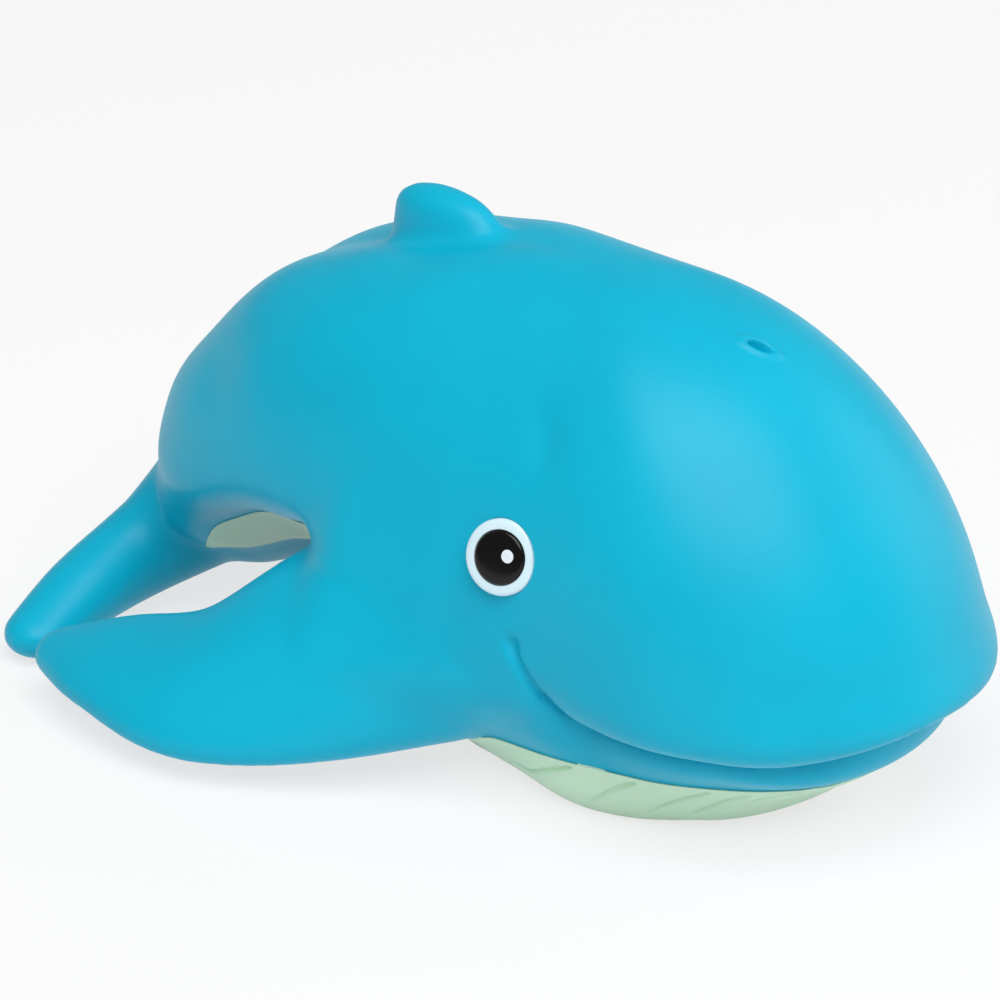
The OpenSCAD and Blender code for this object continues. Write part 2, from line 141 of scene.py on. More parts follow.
def places_of(thing):
    """The vertices' places in metres, one row each."""
    co = np.empty(len(thing.data.vertices) * 3)
    thing.data.vertices.foreach_get("co", co)
    return co.reshape(-1, 3)


def normals_of(thing):
    """The vertices' normals, one row each."""
    no = np.empty(len(thing.data.vertices) * 3)
    thing.data.vertices.foreach_get("normal", no)
    return no.reshape(-1, 3)


def set_places(thing, co):
    """Moves the vertices to these places in metres."""
    thing.data.vertices.foreach_set("co", np.asarray(co, float).ravel())
    thing.data.update()


def distances(points, tree, reach):
    """How far each point in metres lies from a surface, no more than reach."""
    out = np.full(len(points), reach)
    for i, p in enumerate(points):
        hit = tree.find_nearest(Vector(p), reach)
        if hit[0] is not None:
            out[i] = hit[3]
    return out


# The whale's form

# Sizes are in millimetres and, like the shares, follow the part's source. Only the mouth's line,
# where it fades out and the fin are drawn closer to the photograph than they are there.
BODY_LEN, BODY_W, BODY_H, WALL = 127.5, 62.8, 67.0, 2.2
LIP_ROLL, CREASE = 5.0, 1.4
FLIPPER_LEN, FLIPPER_CHORD, FLIPPER_T, FLIPPER_TILT = 54.0, 25.0, 8.5, 41.0
FLUKE_SPAN, FLUKE_H, FLUKE_CHORD, FLUKE_REACH = 76.0, 16.0, 13.0, 6.4
FIN_LEN, FIN_H, FIN_T = 22.0, 8.0, 9.0

WIDTHS = [1.40, 1.40, 1.39, 1.36, 1.33, 1.28, 1.21, 1.11, 1.01, 0.955, 0.94,
          0.945, 0.96, 0.985, 1.02, 1.065, 1.11, 1.14, 1.155, 1.16, 1.16]
BEAMS = [0.291, 0.291, 0.291, 0.292, 0.295, 0.30, 0.31, 0.325, 0.355, 0.39, 0.42,
         0.455, 0.495, 0.515, 0.48, 0.42, 0.385, 0.38, 0.38, 0.38, 0.38]
MOUTH = [0.29, 0.283, 0.266, 0.25, 0.242, 0.242, 0.243, 0.246, 0.263, 0.40, 0.41]
RIMS = [0.135] * 8 + [0.132, 0.126, 0.123, 0.25, 0.41, 0.395, 0.375, 0.32, 0.262,
                      0.19, 0.175, 0.175, 0.175]
TUCKS = [0.338] * 5 + [0.331, 0.296, 0.236, 0.16, 0.15, 0.166, 0.19, 0.21, 0.235,
                       0.25, 0.24, 0.21, 0.2, 0.2, 0.2, 0.2]
KEELS = [0, 0, 0, 0, 0, 0, 0.13, 0.29, 0.25, 0.16, 0.16]
CROWNS = [1.97, 1.98, 2.12, 2.08, 2.24, 1.93]
LEANS = [0.07, 0.07, 0.055, 0.02, 0, 0]
MOUTH_FADE = (0.365, 0.41)
FLANK = [0.03, 0.06, 0.09, 0.12, 0.36, 0.68, 1]
FLANK_TURN = 65
LIP_TURNS = [35, 65, 90]
BELLY_FLAT = 0.43
BELLY_POWERS = [3.2, 3.2, 3.2, 3.2, 2.4, 1.35, 1.8, 2.8, 3.2, 3.2, 3.2]

TOTAL_LEN = BODY_LEN + FLUKE_REACH
SNOUT_X = TOTAL_LEN / 2
MID_X = SNOUT_X - BODY_LEN / 2
CROWN_X = MID_X + 0.075 * BODY_LEN
SQUEAK_X = MID_X + 0.09 * BODY_LEN
DIMPLE_D, DIMPLE_R, HOLE_R = 1.4, 10.4, 8.1

# How many places half a round has, and the share of it over which a direction is taken
FINE, COARSE, PATH = 110, 30, 330
NEAR = 0.004


def read(table, u):
    """A smooth curve through a table's evenly spaced values, read at shares of its length."""
    t = np.asarray(table, float)
    n = len(t) - 1
    s = np.clip(u, 0, 1) * n
    i = np.minimum(np.floor(s).astype(int), n - 1)
    f = s - i
    if t.ndim > 1:
        f = np.asarray(f)[..., None]
    a, b, c, d = (t[np.clip(i + k, 0, n)] for k in (-1, 0, 1, 2))
    return b + f / 2 * (c - a + f * (2 * a - 5 * b + 4 * c - d + f * (3 * (b - c) + d - a)))


def ease(a, b, u):
    """A soft step from 0 at a to 1 at b."""
    s = np.clip((u - a) / (b - a), 0, 1)
    return s * s * (3 - 2 * s)


def mix(a, b, f):
    """From a to b, at the share f of the way."""
    return a + f * (b - a)


def swell(bulge, place):
    """A soft bulge's rise in millimetres at places in metres along its axis."""
    rise, centre, width = bulge
    return rise * np.exp(-((place / MM - centre) / width) ** 2)


class Round:
    """Places round the body: down the left side from the snout to the rump and back up the right.

    Each holds 2 * half places, with u as the share of the way to the rump and side as 1 or -1.
    """

    def __init__(self, half):
        j = np.arange(2 * half)
        self.u = np.where(j <= half, j, 2 * half - j) / half
        self.side = np.where(j <= half, 1.0, -1.0)

    def plan(self, u):
        """The widest line as seen from above."""
        y = self.side * BODY_W / 2 * np.sin(np.pi * u) * read(WIDTHS, u)
        return np.stack([MID_X + BODY_LEN / 2 * np.cos(np.pi * u), y], 1)

    def inset(self, d, z):
        """The widest line moved inwards by d, at height z."""
        t = self.plan(self.u + NEAR) - self.plan(self.u - NEAR)
        out = self.side[:, None] * np.stack([t[:, 1], -t[:, 0]], 1)
        out /= np.linalg.norm(out, axis=1)[:, None]
        return np.column_stack([self.plan(self.u) - np.asarray(d)[..., None] * out, z + 0 * self.u])

    def beam(self):
        """Height of the widest line."""
        return BODY_H * read(BEAMS, self.u)

    def rim(self):
        """Height of the rim where the belly starts."""
        return BODY_H * read(RIMS, self.u)

    def tuck(self):
        """How far the rim lies inside the widest line."""
        return BODY_W / 2 * read(TUCKS, self.u)

    def flank_knots(self):
        """Inset and height of the widest line and of the seven rows below it."""
        top, rim, tuck = self.beam(), self.rim(), self.tuck()
        low = BODY_H * read(MOUTH, self.u / 0.5)
        on = 1 - ease(MOUTH_FADE[0], MOUTH_FADE[1], self.u)
        turn = np.radians(FLANK_TURN)
        rows = [np.stack([0 * top, top], 1)]
        for k, share in enumerate(FLANK):
            a = turn * share
            plain = (tuck * (1 - np.cos(a)) / (1 - np.cos(turn)),
                     top - (top - rim) * np.sin(a) / np.sin(turn))
            if k < 3:
                b = np.radians(LIP_TURNS[k])
                lip = (LIP_ROLL * (1 - np.cos(b)) + 0 * top, top - (top - low) * np.sin(b))
            elif k == 3:
                lip = (LIP_ROLL + CREASE + 0 * top, mix(low, rim, 0.04))
            else:
                f, g = ((0.1, 0.3), (0.4, 0.65), (1, 1))[k - 4]
                lip = (mix(LIP_ROLL, tuck, f), mix(low, rim, g))
            rows.append(np.stack([mix(plain[i], lip[i], on) for i in (0, 1)], 1))
        return np.array(rows)

    def flank_row(self, k):
        """A row of the flank, where k runs from 0 at the widest line to 1 at the belly's rim."""
        r = read(self.flank_knots(), k)
        return self.inset(r[:, 0], r[:, 1])

    def dome_row(self, turn):
        """A row of the dome, where turn runs from 0 degrees at the widest line to 90 at the crown."""
        p = self.plan(self.u)
        beam, k = self.beam(), 2 / read(CROWNS, self.u)
        low = beam - BODY_H * np.maximum(0, read(LEANS, self.u))
        start = np.arcsin(((beam - low) / (BODY_H - low)) ** (1 / k))
        a = start + (np.pi / 2 - start) * turn / 90
        s = np.clip(np.cos(a) / np.cos(start), 0, None) ** k
        return np.column_stack([mix(CROWN_X, p[:, 0], s), s * p[:, 1],
                                mix(low, BODY_H, np.sin(a) ** k)])

    def keel(self, x):
        """Height of the belly's middle line."""
        return BODY_H * np.maximum(0, read(KEELS, (SNOUT_X - x) / BODY_LEN))

    def belly_row(self, f):
        """A row of the belly, where f runs from 0 at the squeaker's dimple to 1 at the rim."""
        turn = np.pi * self.u
        cx, cy = SQUEAK_X + DIMPLE_R * np.cos(turn), self.side * DIMPLE_R * np.sin(turn)
        e = self.flank_row(1)
        x = mix(cx, e[:, 0], f)
        s = max(0, f - BELLY_FLAT) / (1 - BELLY_FLAT)
        return np.column_stack([x, mix(cy, e[:, 1], f),
                                self.keel(x) + (e[:, 2] - self.keel(e[:, 0]))
                                * s ** read(BELLY_POWERS, self.u)])

    def ring(self, r, z):
        """A circle round the squeaker's axis."""
        turn = np.pi * self.u
        return np.column_stack([SQUEAK_X + r * np.cos(turn), self.side * r * np.sin(turn),
                                z + 0 * turn])

    def rim_row(self, along):
        """The rim between body and belly, moved by along up and inwards at 45 degrees."""
        d = along * math.sqrt(0.5)
        return self.inset(self.tuck() + d, self.rim() + d)


def moved_in(rows, d):
    """Rows moved by d square to the skin, inwards where d is more than 0."""
    out = []
    for i, row in enumerate(rows):
        across = np.roll(row, -1, 0) - np.roll(row, 1, 0)
        down = rows[min(i + 1, len(rows) - 1)] - rows[max(i - 1, 0)]
        n = np.cross(down, across)
        out.append(row - d * n / np.linalg.norm(n, axis=1)[:, None])
    return out


def body_form():
    """The body's whole outer form, without limbs."""
    way = Round(FINE)
    rows = [way.dome_row(t) for t in (88, 86, 83, 80, *range(76, 0, -3))]
    rows += [way.flank_row(k) for k in np.linspace(0, 1, 43)]
    rows += [way.belly_row(f) for f in (0.98, 0.96, 0.93, 0.9, 0.86, 0.82, 0.77, 0.72, 0.66,
                                        0.6, 0.54, 0.48, 0.43, 0.38, 0.3, 0.2, 0.1, 0)]
    rows.append(way.ring(5, 0))
    return skin("body_form", rows, (CROWN_X, 0, BODY_H), (SQUEAK_X, 0, 0))


def air_space():
    """The hollow inside the vinyl, with the raised seat of the squeaker left standing."""
    way = Round(COARSE)
    outer = [way.dome_row(t) for t in (84, 77, 69, 61, 53, 45, 37, 29, 21, 13, 6, 0)]
    outer += [way.flank_row(k / 7) for k in range(1, 8)]
    belly = [way.belly_row(f) for f in (0.4, 0.54, 0.66, 0.76, 0.85, 0.93)]
    seat = DIMPLE_D + WALL
    rows = moved_in(outer, WALL)[:-1] + [way.rim_row(WALL)]
    rows += moved_in(belly + [outer[-1]], -WALL)[:-1][::-1]
    rows += [way.ring(DIMPLE_R + WALL, seat), way.ring(HOLE_R, seat)]
    return skin("air_space", rows, (CROWN_X, 0, BODY_H - WALL), (SQUEAK_X, 0, seat))


def belly_zone():
    """What belongs to the belly: a little more than its skin, up to the rim's slanted joint."""
    way = Round(FINE)
    shares = (0.98, 0.96, 0.93, 0.9, 0.86, 0.82, 0.77, 0.72, 0.66, 0.6, 0.5, 0.4, 0.2, 0)
    top, over_rim, under_rim, under_skin = WALL + 3, WALL + 2, 0.5, 0.45
    rows = [way.belly_row(f) + (0, 0, top) for f in (0, 0.3, 0.6, 0.8, 0.9)]
    rows += [way.rim_row(d) for d in (over_rim, WALL, 0, -under_rim)]
    under = [way.rim_row(0)] + [way.belly_row(f) for f in shares]
    rows += moved_in(under, -under_skin)[1:]
    return skin("belly_zone", rows, (SQUEAK_X, 0, top), (SQUEAK_X, 0, -under_rim))


def turned(x, y, z):
    """The matrix of turns about X, then Y, then Z, in degrees."""
    m = [Matrix.Rotation(math.radians(a), 3, axis) for a, axis in ((z, "Z"), (y, "Y"), (x, "X"))]
    return np.array(m[0] @ m[1] @ m[2])


def limb(name, stations, sides=36):
    """Rounded lumps that run into one another, each given by its centre, size and turn."""
    girth = [(np.cos(b) * np.cos(a), np.cos(b) * np.sin(a), np.sin(b))
             for b in np.linspace(-np.pi / 2, np.pi / 2, sides // 2 + 1)[1:-1]
             for a in np.arange(sides) * 2 * np.pi / sides]
    ball = np.array([(0, 0, -1)] + girth + [(0, 0, 1)]) / 2
    n, m = sides, sides // 2 - 1
    faces = [(0, 1 + (j + 1) % n, 1 + j) for j in range(n)]
    for i in range(m - 1):
        a, b = 1 + i * n, 1 + (i + 1) * n
        faces += [(a + j, a + (j + 1) % n, b + (j + 1) % n, b + j) for j in range(n)]
    a, end = 1 + (m - 1) * n, 1 + m * n
    faces += [(end, a + j, a + (j + 1) % n) for j in range(n)]
    points, all_faces = [], []
    for centre, size, turn in stations:
        start = len(points) * len(ball)
        points.append(np.asarray(centre) + (ball * np.asarray(size)) @ turned(*turn).T)
        all_faces += [tuple(k + start for k in f) for f in faces]
    return closed_mesh(name, np.vstack(points), all_faces)


# Stations along a flipper: places from its root as shares of its length, then the size as shares
# of length, chord and thickness, and the turn and tilt as shares of the flipper's tilt
FLIPPER = [
    [0.12, 0.08, 0.055, 0.34, 1.18, 2.2, 0.75, 1],
    [-0.1, -0.08, 0.025, 0.36, 1.24, 1.7, 0.75, 0.95],
    [-0.374, -0.27, -0.104, 0.3, 0.99, 1.1, 0.38, 0.75],
    [-0.65, -0.295, -0.137, 0.26, 0.69, 0.8, 0.1, 0.56],
    [-0.819, -0.291, -0.165, 0.2, 0.38, 0.6, 0, 0.5],
]
FLIPPER_ROOT = np.array([MID_X - 0.055 * BODY_LEN, -0.4 * BODY_W, 0.24 * BODY_H])

# Stations along a fluke: places along the half span, forward and up, then width, chord and height
FLUKE = [
    [0, 0.3, 0.3, 0.6, 1.3, 1.1], [0.34, 0, 0.13, 0.4, 0.95, 0.85],
    [0.62, -0.08, 0.06, 0.36, 0.88, 0.64], [0.875, -0.05, 0.005, 0.28, 0.75, 0.42],
]

# Lumps of the fin: places forward and up from its base, then length, thickness and height
FIN = [[0.03, 0, 0.96, 1.05, 1], [-0.05, 0.54, 0.76, 0.8, 1.04], [0.2, 0.34, 0.44, 0.76, 0.68],
       [0.42, 0.12, 0.28, 0.64, 0.54]]
FIN_BASE = (MID_X - 0.145 * BODY_LEN, 0.925 * BODY_H)

# Lumps of the tail's stock: places forward and up from the tail's end, then length, width, height
STOCK = [[0.243, 0.276, 1.3, 0.18, 0.72], [0.125, 0.187, 1.4, 0.21, 0.84], [0.08, 0.19, 1.3, 0.3, 1]]


def mirrored(stations):
    """The same stations on the other side."""
    return [((c[0], -c[1], c[2]), s, (-t[0], t[1], -t[2])) for c, s, t in stations]


def flipper_stations(count=34):
    """The right flipper's lumps, from its root to its tip."""
    out = []
    for u in np.linspace(0, 1, count):
        s = read(FLIPPER, u)
        out.append((FLIPPER_ROOT + FLIPPER_LEN * s[:3],
                    (s[3] * FLIPPER_LEN, s[4] * FLIPPER_CHORD, s[5] * FLIPPER_T),
                    (-s[7] * FLIPPER_TILT, 0, 180 + s[6] * FLIPPER_TILT)))
    return out


def fluke_stations(count=26):
    """The right fluke's lumps, from the middle to its tip."""
    out = []
    for u in np.linspace(0, 1, count):
        s = read(FLUKE, u)
        out.append((((0.5 + s[1]) * FLUKE_CHORD - TOTAL_LEN / 2, -s[0] * FLUKE_SPAN / 2,
                     (s[2] + s[5] / 2) * FLUKE_H),
                    (s[4] * FLUKE_CHORD, s[3] * FLUKE_SPAN / 2, s[5] * FLUKE_H), (0, 0, 0)))
    return out


def steps(table, count):
    """A table's rows with straight steps between them."""
    t = np.array(table)
    u = np.linspace(0, len(t) - 1, (len(t) - 1) * count + 1)
    i = np.minimum(u.astype(int), len(t) - 2)
    return mix(t[i], t[i + 1], (u - i)[:, None])


def stock_stations(count=14):
    """The lumps of the tail's stock, which joins the flukes to the body."""
    return [((s[0] * BODY_LEN - TOTAL_LEN / 2, 0, s[1] * BODY_H),
             (s[2] * FLUKE_CHORD, s[3] * FLUKE_SPAN, s[4] * FLUKE_H), (0, 0, 0))
            for s in steps(STOCK, count)]


def fin_stations(count=14):
    """The fin's lumps."""
    return [((FIN_BASE[0] + s[0] * FIN_LEN, 0, FIN_BASE[1] + s[1] * FIN_H),
             (s[2] * FIN_LEN, s[3] * FIN_T, s[4] * FIN_H), (0, 0, 0)) for s in steps(FIN, count)]


# The vinyl: body and belly

VOXEL = 0.00062

# How far the fillets reach from a limb's joint, in metres, and how much more where they are fullest
FIN_FILLET = 0.0016
STOCK_FILLET, STOCK_MORE = 0.0035, 0.003
FLUKE_FILLET, FLUKE_MORE = 0.004, 0.007
FLIPPER_FILLET, FLIPPER_MORE = 0.003, 0.013
FILLET_FAR = 0.02

# Bulges of the skin that the photograph shows and the part's source leaves out. Each has its rise,
# its middle and its width in millimetres, along Z at the snout and the rump and along X elsewhere.
# The back and the flippers' undersides go straight down, and the chin is lifted by one amount.
LIP_BULGE, JAW_BULGE = (0.8, 20.5, 4), (1.3, 12.5, 3)
SHOULDER_BULGE, RUMP_HOLLOW, HIP_BULGE = (0.7, 58, 5), (-1.15, 45, 7), (0.45, 27, 4)
BACK_DIP, FLIPPER_SAG, BELLY_BULGE, CHIN_LIFT = (0.45, -14.5, 7), (2.0, -4, 12), (1.1, 25, 10), 1.2

form = body_form()
limbs = {
    "flipper_right": limb("flipper_right_form", flipper_stations()),
    "flipper_left": limb("flipper_left_form", mirrored(flipper_stations())),
    "fluke_right": limb("fluke_right_form", fluke_stations()),
    "fluke_left": limb("fluke_left_form", mirrored(fluke_stations())),
    "fluke_stock": limb("fluke_stock_form", stock_stations()),
    "fin": limb("fin_form", fin_stations()),
}


def fillet_reach(name, co):
    """How far from a limb's joint its fillet reaches, in metres, at each point."""
    x, side, z = co[:, 0], np.abs(co[:, 1]), co[:, 2]
    if name == "fin":
        return FIN_FILLET
    if name == "fluke_stock":
        return STOCK_FILLET + STOCK_MORE * ease(0.016, 0.022, z)
    if name.startswith("fluke"):
        near_middle = 1 - ease(0.022, 0.032, side)
        return FLUKE_FILLET + FLUKE_MORE * ease(0.010, 0.017, z) * near_middle
    # a flipper's shoulder flows into the flank, and its edges below and behind meet it sharply
    return FLIPPER_FILLET + FLIPPER_MORE * ease(-0.021, -0.008, x) * ease(0.009, 0.019, z)


def tree_of(thing):
    """A search tree of a mesh's surface."""
    bm = bmesh.new()
    bm.from_mesh(thing.data)
    tree = BVHTree.FromBMesh(bm)
    bm.free()
    return tree


form_tree = tree_of(form)
limb_trees = {name: tree_of(thing) for name, thing in limbs.items()}

whale = copy_of(form, "vinyl_body")
only(whale, *limbs.values())
bpy.ops.object.join()
bpy.data.objects.remove(form)
apply_modifier(whale, "REMESH", mode="VOXEL", voxel_size=VOXEL)
apply_modifier(whale, "SMOOTH", factor=0.5, iterations=3)

# the moulded fillets where the limbs grow out of the body
co, no = places_of(whale), normals_of(whale)
to_form = distances(co, form_tree, FILLET_FAR)
push = np.zeros(len(co))
for name, tree in limb_trees.items():
    k = fillet_reach(name, co)
    other = np.maximum(distances(co, tree, FILLET_FAR), to_form)
    push = np.maximum(push, np.clip(k - other, 0, None) ** 2 / (4 * k))
set_places(whale, co + no * push[:, None])
apply_modifier(whale, "REMESH", mode="VOXEL", voxel_size=VOXEL)
apply_modifier(whale, "SMOOTH", factor=0.5, iterations=8)

# what the photograph shows beyond the part's own form: the lip and the jaw pout round the front,
# the rump leans in behind the shoulders, the back dips ahead of the fin, the flippers hang fuller
co, no = places_of(whale), normals_of(whale)
x, side, z = co[:, 0], np.abs(co[:, 1]), co[:, 2]
at_front, at_rump = ease(0.046, 0.058, x), 1 - ease(-0.042, -0.026, x)
on_back, on_flipper = ease(0.050, 0.060, z), ease(0.022, 0.028, side)
under_flipper = 1 - ease(0.010, 0.020, z)
out = (swell(LIP_BULGE, z) + swell(JAW_BULGE, z)) * at_front
out += (swell(SHOULDER_BULGE, z) + swell(RUMP_HOLLOW, z) + swell(HIP_BULGE, z)) * at_rump
down = swell(BACK_DIP, x) * on_back
down += swell(FLIPPER_SAG, x) * on_flipper * under_flipper
co += no * (out * MM)[:, None]
co[:, 2] -= down * MM
set_places(whale, co)

carve(whale, air_space())
zone = belly_zone()
belly = copy_of(whale, "belly_skin")
carve(whale, zone, keep_tool=True)
carve(belly, zone, operation="INTERSECT")

# the belly hangs a little fuller at its sides and lifts towards the chin
co, no = places_of(belly), normals_of(belly)
x, side, z = co[:, 0], np.abs(co[:, 1]), co[:, 2]
below = (1 - ease(0.0045, 0.008, z)) * (no[:, 2] < 0.3)
at_side, at_chin = ease(0.012, 0.018, side), ease(0.040, 0.052, x)
out = (swell(BELLY_BULGE, x) * at_side - CHIN_LIFT * at_chin) * below
co += no * (out * MM)[:, None]
co[:, 2] = np.maximum(co[:, 2], 0)
set_places(belly, co)


def post(name, radius, low, high, sides=96):
    """A round bar in the squeaker's place, from one height to another."""
    bpy.ops.object.select_all(action="DESELECT")
    bpy.ops.mesh.primitive_cylinder_add(vertices=sides, radius=radius * MM, depth=(high - low) * MM,
                                        location=(SQUEAK_X * MM, 0, (low + high) / 2 * MM))
    thing = bpy.context.object
    thing.name = name
    bake_place(thing)
    return thing


OVERRUN, HOLE_TOP = 2, 8
carve(belly, post("dimple_tool", DIMPLE_R, -OVERRUN, DIMPLE_D))
carve(belly, post("hole_tool", HOLE_R, -OVERRUN, HOLE_TOP))


def path_tree(points):
    """A search tree of a path's points in millimetres."""
    tree = KDTree(len(points))
    for i, p in enumerate(points):
        tree.insert(Vector(p) * MM, i)
    tree.balance()
    return tree


def near_path(co, tree, reach, box_low, box_high):
    """For each vertex the distance to the path's nearest point and that point's number."""
    d, which = np.full(len(co), 1.0), np.zeros(len(co), int)
    inside = np.all((co > np.array(box_low)) & (co < np.array(box_high)), axis=1)
    for i in np.nonzero(inside)[0]:
        hit = tree.find(Vector(co[i]))
        if hit[2] < reach:
            d[i], which[i] = hit[2], hit[1]
    return d, which


def refine(thing, points, reach):
    """Splits the faces near a path in four, so that fine detail can be carved there."""
    points = np.asarray(points)
    co = places_of(thing)
    low, high = points.min(0) * MM - reach, points.max(0) * MM + reach
    d, _ = near_path(co, path_tree(points), reach, low, high)
    only(thing)
    bpy.ops.object.mode_set(mode="EDIT")
    bpy.ops.mesh.select_mode(type="VERT")
    bpy.ops.mesh.select_all(action="DESELECT")
    bpy.ops.object.mode_set(mode="OBJECT")
    thing.data.vertices.foreach_set("select", d < reach)
    bpy.ops.object.mode_set(mode="EDIT")
    bpy.ops.mesh.select_mode(type="FACE")
    bpy.ops.mesh.subdivide(number_cuts=1)
    bpy.ops.object.mode_set(mode="OBJECT")


def every_face(co, no):
    """Leaves no vertex out."""
    return np.ones(len(co), bool)


def groove(thing, points, depths, width, outward=every_face):
    """Presses a soft groove along a path, at the vertices that outward picks.

    Depths are in millimetres, one for each point, and the width is in metres.
    """
    points = np.asarray(points)
    co, no = places_of(thing), normals_of(thing)
    low, high = points.min(0) * MM - 4 * width, points.max(0) * MM + 4 * width
    d, which = near_path(co, path_tree(points), 3 * width, low, high)
    depth = np.asarray(depths)[which] * MM * np.exp(-(d / width) ** 2)
    depth[~outward(co, no)] = 0
    set_places(thing, co - no * depth[:, None])


def on_surface(points, tree):
    """The nearest places on a surface to a path's knots, joined by a smooth path, on both sides."""
    out = []
    for side in (1, -1):
        knots = np.array(points, float) * (1, side, 1)
        path = read(knots, np.linspace(0, 1, 12 * len(knots)))
        out.append([tree.find_nearest(Vector(p) * MM)[0] / MM for p in path])
    return np.array(out).reshape(-1, 3)


def press(thing, points, depth, width, reach, fade, splits=1, outward=every_face):
    """Presses one soft groove on each side, which fades in and out over these shares of its length.

    The faces within reach are first split in four as often as splits says.
    """
    path = on_surface(points, tree_of(thing))
    for _ in range(splits):
        refine(thing, path, reach)
    t = np.tile(np.linspace(0, 1, len(path) // 2), 2)
    strength = ease(0, fade[0], t) * (1 - ease(1 - fade[1], 1, t))
    groove(thing, path, depth * strength, width, outward)


# the mouth: a dark crease under the lip, which ends in a dimple in the cheek
CREASE_ROW, CREASE_DEPTH, CREASE_WIDTH, CREASE_REACH = 4 / 7, 1.25, 0.00085, 0.0022
way = Round(PATH)
crease = way.flank_row(CREASE_ROW)
on_mouth = 1 - ease(0.365, 0.40, way.u)
keep = on_mouth > 0.02
refine(whale, crease[keep], CREASE_REACH)
groove(whale, crease[keep], CREASE_DEPTH * on_mouth[keep], CREASE_WIDTH)
lip_end = crease[(way.side < 0) & (way.u > 0.375) & (way.u < 0.395)]
press(whale, [(19.4, -29.9, 26.8), (20.2, -30, 25.2), (21.2, -29.9, 23.7), (22.7, -29.6, 21.6),
              (24.3, -28.9, 19.4), *lip_end.tolist()],
      depth=0.85, width=0.0007, reach=0.0022, fade=(0.08, 0.3))
press(whale, [(18.4, -29.7, 27.4), (20.2, -30, 26.4), (22, -30, 25.8)],
      depth=0.4, width=0.001, reach=0.0025, fade=(0.4, 0.5), splits=0)

# the soft folds of the neck and of the cheek before the flipper
press(whale, [(15.2, -20.2, 56.1), (17.2, -21.5, 54.4), (19, -22.6, 52.5), (19.7, -23.8, 50.3),
              (19.5, -25, 47.9), (19.7, -26.2, 44.9)],
      depth=0.55, width=0.0024, reach=0.004, fade=(0.4, 0.5), splits=0)
press(whale, [(7.5, -29.4, 29.6), (10.1, -29.5, 26.9), (12.2, -29.1, 23.8), (13.1, -28.5, 20.2),
              (13.2, -27.9, 16.5)],
      depth=0.5, width=0.0035, reach=0.006, fade=(0.4, 0.4), splits=0)

# the throat's pleats, which run back from the rim and fade out on the flat
PLEATS = [
    [(26, -24.6, 8.5), (24.5, -24.5, 7.7), (22.7, -24.3, 6.8), (20.6, -23.8, 5.9), (17.9, -23, 4.7),
     (15.8, -22.8, 4.7), (14, -22.8, 4.8), (12.9, -22.9, 5.1)],
    [(35, -22.7, 8.3), (33, -22.8, 7.2), (30.7, -22.6, 5.8), (28.4, -22.2, 4.3), (25.6, -21.3, 2.5)],
    [(44, -18.6, 8.4), (42.3, -19, 7.4), (40.3, -19.6, 6.4), (38.2, -20, 5.2), (35.7, -20, 3.7),
     (33, -19.3, 1.9)],
    [(47.9, -15.3, 8.2), (46.6, -16.2, 7.3), (44.7, -16.9, 6.2), (42.6, -17.3, 4.9),
     (40.4, -17.6, 3.6), (38.5, -17, 2.1)],
    [(52.6, -11.2, 8.6), (50.9, -12.4, 7.8), (49.4, -13.6, 7), (47.7, -14.4, 6.1), (46, -14.9, 5)],
    [(55, -6.9, 8.7), (53.8, -8.8, 8.3), (52.2, -9.9, 7.4), (51.3, -11, 6.6)],
    [(56.2, -2.5, 8.9), (55, -3.6, 8), (53.6, -4.8, 7), (52, -6, 6)],
]
for fold in PLEATS:
    press(belly, fold, depth=0.62, width=0.00034, reach=0.0012, fade=(0.12, 0.35), splits=2,
          outward=lambda co, no: no[:, 2] < 0.3)

# the belly's edge stands a hair proud of the jaw
EDGE_REACH, EDGE_SPLIT, EDGE_PROUD, EDGE_WIDTH = 0.004, 0.0014, 0.28, 0.0016
edge = way.rim_row(0)
refine(belly, edge, EDGE_SPLIT)
co, no = places_of(belly), normals_of(belly)
low, high = edge.min(0) * MM - EDGE_REACH, edge.max(0) * MM + EDGE_REACH
d, _ = near_path(co, path_tree(edge), EDGE_REACH, low, high)
looks_out = (no[:, 2] < 0.35) & (d < EDGE_REACH)
lift = EDGE_PROUD * MM * np.exp(-(d / EDGE_WIDTH) ** 2)
lift[~looks_out] = 0
set_places(belly, co + no * lift[:, None])

# the blowhole: a raised lip round an oval pit, with a smaller oval hole through the vinyl
BLOW_TURN, BLOW_TWIST = 62.9, math.radians(28)
PIT_LEN, PIT_W, PIT_DEPTH, HOLE_LEN, HOLE_W, HOLE_DEPTH = 1.7, 0.85, 1.4, 1.15, 0.45, 6
LIP_RISE, LIP_AT, LIP_WIDTH, LIP_FAR, SKIN_DEPTH = 0.36, 1.45, 0.5, 4, 0.0014
near_crown = Round(2)
blow = near_crown.dome_row(BLOW_TURN)[0]
ahead = near_crown.dome_row(BLOW_TURN - 1)[0]
slope = math.atan2(ahead[0] - blow[0], blow[2] - ahead[2])
blow_out = np.array([math.cos(slope), 0, math.sin(slope)])
blow_fore = np.array([math.sin(slope), 0, -math.cos(slope)])
blow_along = math.cos(BLOW_TWIST) * blow_fore + math.sin(BLOW_TWIST) * np.array([0, 1, 0])
blow_across = np.cross(blow_out, blow_along)
for reach in (0.006, 0.0045):
    refine(whale, [blow], reach)
co, no = places_of(whale), normals_of(whale)
away = co - blow * MM
along, across = away @ blow_along / MM, away @ blow_across / MM
r = np.sqrt((along / PIT_LEN) ** 2 + (across / PIT_W) ** 2)
lift = LIP_RISE * np.exp(-((r - LIP_AT) / LIP_WIDTH) ** 2)
lift -= PIT_DEPTH * np.clip(1 - r ** 2, 0, 1) ** 0.6
lift[(np.abs(away @ blow_out) > SKIN_DEPTH) | (r > LIP_FAR)] = 0
